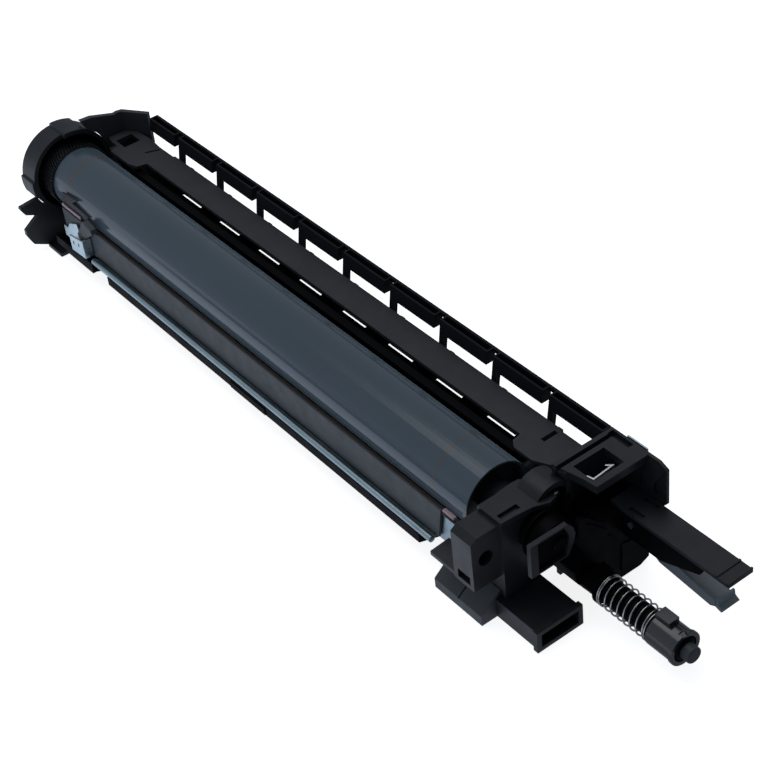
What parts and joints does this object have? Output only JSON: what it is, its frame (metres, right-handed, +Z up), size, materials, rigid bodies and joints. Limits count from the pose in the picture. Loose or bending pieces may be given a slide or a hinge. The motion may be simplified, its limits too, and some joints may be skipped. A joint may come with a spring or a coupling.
{
  "type": "printer drum unit",
  "caption": "Long black drum cartridge with a coated drum, back grille rail, blade holder, gear end, waste pipe with a sprung sleeve, and a grip arm with a release lever.",
  "frame": {"origin": "middle of the footprint, on the plane of the lowest faces", "axes": "+X along the drum axis to the grip end, +Y to the side of the back rail, +Z up"},
  "size_m": [0.4224, 0.0724, 0.0609],
  "materials": {
    "black_moulding": "black moulded plastic, slightly shiny",
    "rail_moulding": "black moulded plastic, slightly shiny",
    "housing_moulding": "black moulded plastic with a bluish sheen",
    "grip_moulding": "black moulded plastic, fine grain",
    "pipe_moulding": "black moulded plastic, smooth",
    "gear_moulding": "black acetal, greased",
    "matte_cover": "black moulded plastic, matte",
    "coated_drum": "glossy blue-grey coating on aluminium",
    "zinc_plate": "zinc-plated sheet steel, bluish",
    "bright_steel": "bright plated steel",
    "grey_moulding": "grey moulded plastic",
    "felt": "pinkish felt",
    "roller_rubber": "smooth black rubber",
    "blade_rubber": "amber rubber"
  },
  "bodies": {
    "frame": {"frame_tray": "black_moulding", "back_rail": "rail_moulding", "front_bearing": "bright_steel", "rear_bearing": "bright_steel", "blade_holder": "zinc_plate", "cleaning_blade": "blade_rubber", "blade_screw_far": "bright_steel", "blade_screw_near": "bright_steel", "earth_clip": "zinc_plate", "end_seal_far": "felt", "end_seal_near": "felt", "charge_case": "black_moulding", "charge_bearing_far": "grey_moulding", "charge_bearing_near": "grey_moulding", "charge_cover": "matte_cover", "front_housing": "housing_moulding", "coupling_cover": "housing_moulding", "head_frame": "housing_moulding", "front_panel": "housing_moulding", "base_shoe": "black_moulding", "wing_guide": "black_moulding", "duct_box": "black_moulding", "grip_arm": "grip_moulding", "lever_pin": "zinc_plate", "window_contact": "bright_steel", "side_contact": "zinc_plate", "waste_pipe": "pipe_moulding", "pipe_spring": "bright_steel", "rear_shell": "black_moulding", "rear_plate": "black_moulding", "rear_cheek": "black_moulding"},
    "drum": {"drum_tube": "coated_drum", "drum_gear": "gear_moulding", "drum_flange": "gear_moulding", "drum_shaft": "bright_steel"},
    "waste_feed": {"waste_screw": "gear_moulding", "screw_gear": "grey_moulding"},
    "charge": {"charge_roller": "roller_rubber", "charge_shaft": "bright_steel"},
    "shutter": {"pipe_shutter": "pipe_moulding"},
    "lever": {"release_lever": "grey_moulding", "lever_spring": "bright_steel"}
  },
  "joints": [
    {"name": "drum_spin", "type": "hinge", "parent": "frame", "child": "drum", "pos_m": [0.1218, -0.00705, 0.036], "axis": [1, 0, 0], "continuous": true},
    {"name": "waste_spin", "type": "hinge", "parent": "frame", "child": "waste_feed", "pos_m": [0.1218, 0.00575, 0.012], "axis": [1, 0, 0], "continuous": true},
    {"name": "charge_spin", "type": "hinge", "parent": "frame", "child": "charge", "pos_m": [0.1218, 0.01204, 0.02909], "axis": [1, 0, 0], "continuous": true},
    {"name": "shutter_slide", "type": "slide", "parent": "frame", "child": "shutter", "axis": [-1, 0, 0], "range_m": [0, 0.013], "stiffness_N_per_m": 200, "springref_m": -0.008, "deforming": ["pipe_spring"]},
    {"name": "lever_hinge", "type": "hinge", "parent": "frame", "child": "lever", "pos_m": [0.1621, 0.02335, 0.0308], "axis": [0, -1, 0], "range_deg": [0, 12], "stiffness_Nm_per_rad": 0.05, "springref_deg": -17.19}
  ],
  "couplings": [
    {"joint": "waste_spin", "follows": "drum_spin", "ratio": -1.8824},
    {"joint": "charge_spin", "follows": "drum_spin", "ratio": -3}
  ]
}
